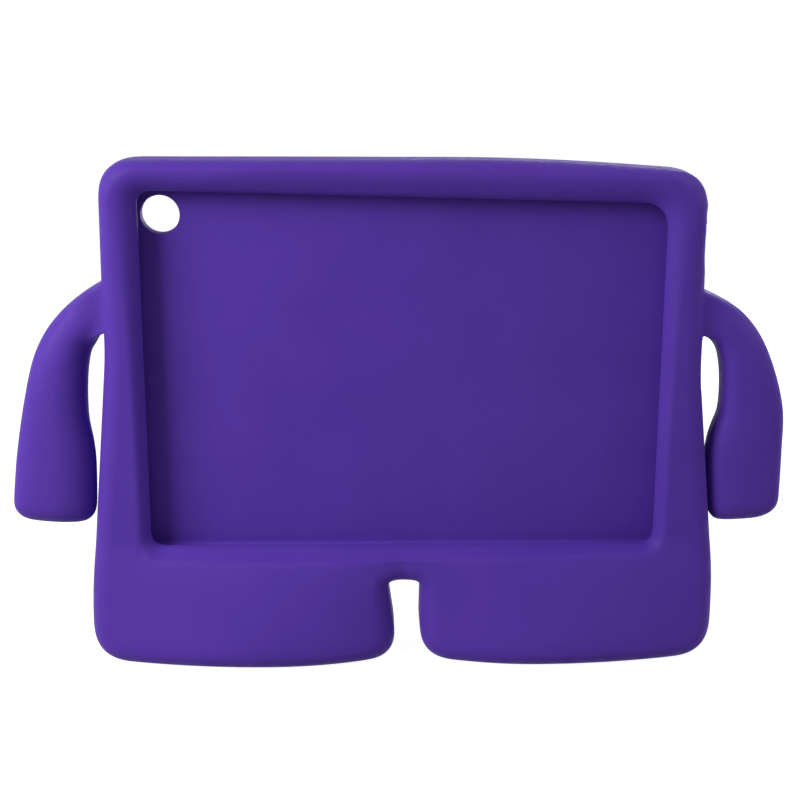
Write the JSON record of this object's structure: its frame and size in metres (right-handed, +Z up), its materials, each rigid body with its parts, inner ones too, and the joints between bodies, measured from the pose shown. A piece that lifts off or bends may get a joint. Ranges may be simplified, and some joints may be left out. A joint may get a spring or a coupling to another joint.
{
  "type": "kids tablet case",
  "caption": "Thick foam case for a ten-inch tablet, with two drooping arms to hold it by and broad feet on which it stands upright.",
  "frame": {"origin": "on the ground under the middle of the whole case, between its front and back reach", "axes": "+X to the right as seen from the open front, +Y from the front to the back, +Z up"},
  "size_m": [0.3678, 0.0604, 0.2412],
  "materials": {
    "purple_foam": "closed-cell foam with a fine matt moulded skin and a slight sheen"
  },
  "bodies": {
    "root": {"foam_case": "purple_foam"}
  },
  "joints": []
}
